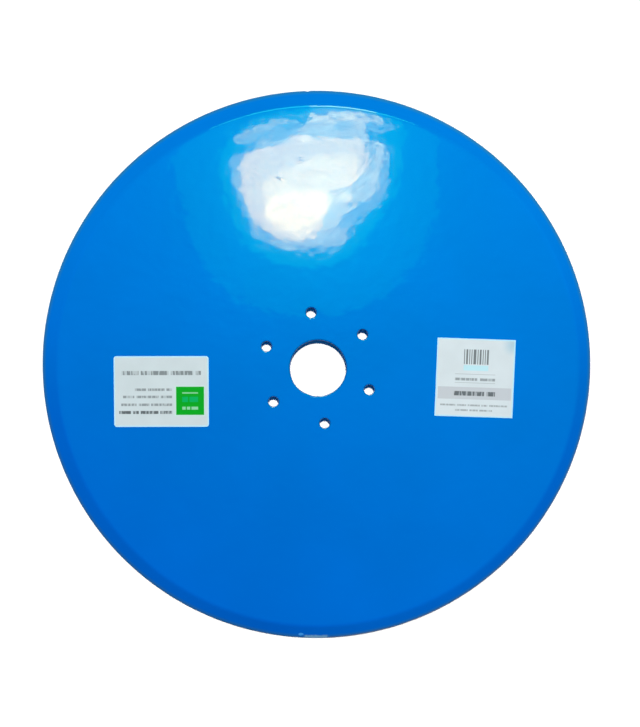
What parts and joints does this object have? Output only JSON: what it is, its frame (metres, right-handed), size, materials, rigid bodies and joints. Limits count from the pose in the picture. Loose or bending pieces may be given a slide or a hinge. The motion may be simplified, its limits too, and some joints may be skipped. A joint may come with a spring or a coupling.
{
  "type": "seed drill disc",
  "caption": "Flat round steel opener disc with a bevelled cutting rim, a plain central bore and a ring of bolt holes, painted glossy blue, with plain paper stickers.",
  "frame": {"origin": "centre of the bore at the flat back face, which is the lowest face", "axes": "+Z along the bore axis out of the bevelled face; +Y towards the bolt hole that is 7 degrees counter-clockwise of it; +X towards the square sticker's side"},
  "size_m": [0.35, 0.35, 0.0041],
  "materials": {
    "blue_paint": "glossy blue paint over steel, with slight orange peel",
    "sticker_paper": "matt off-white paper with plain printed fields"
  },
  "bodies": {
    "root": {"disc_blade": "blue_paint", "square_label": "sticker_paper", "rounded_label": "sticker_paper"}
  },
  "joints": []
}
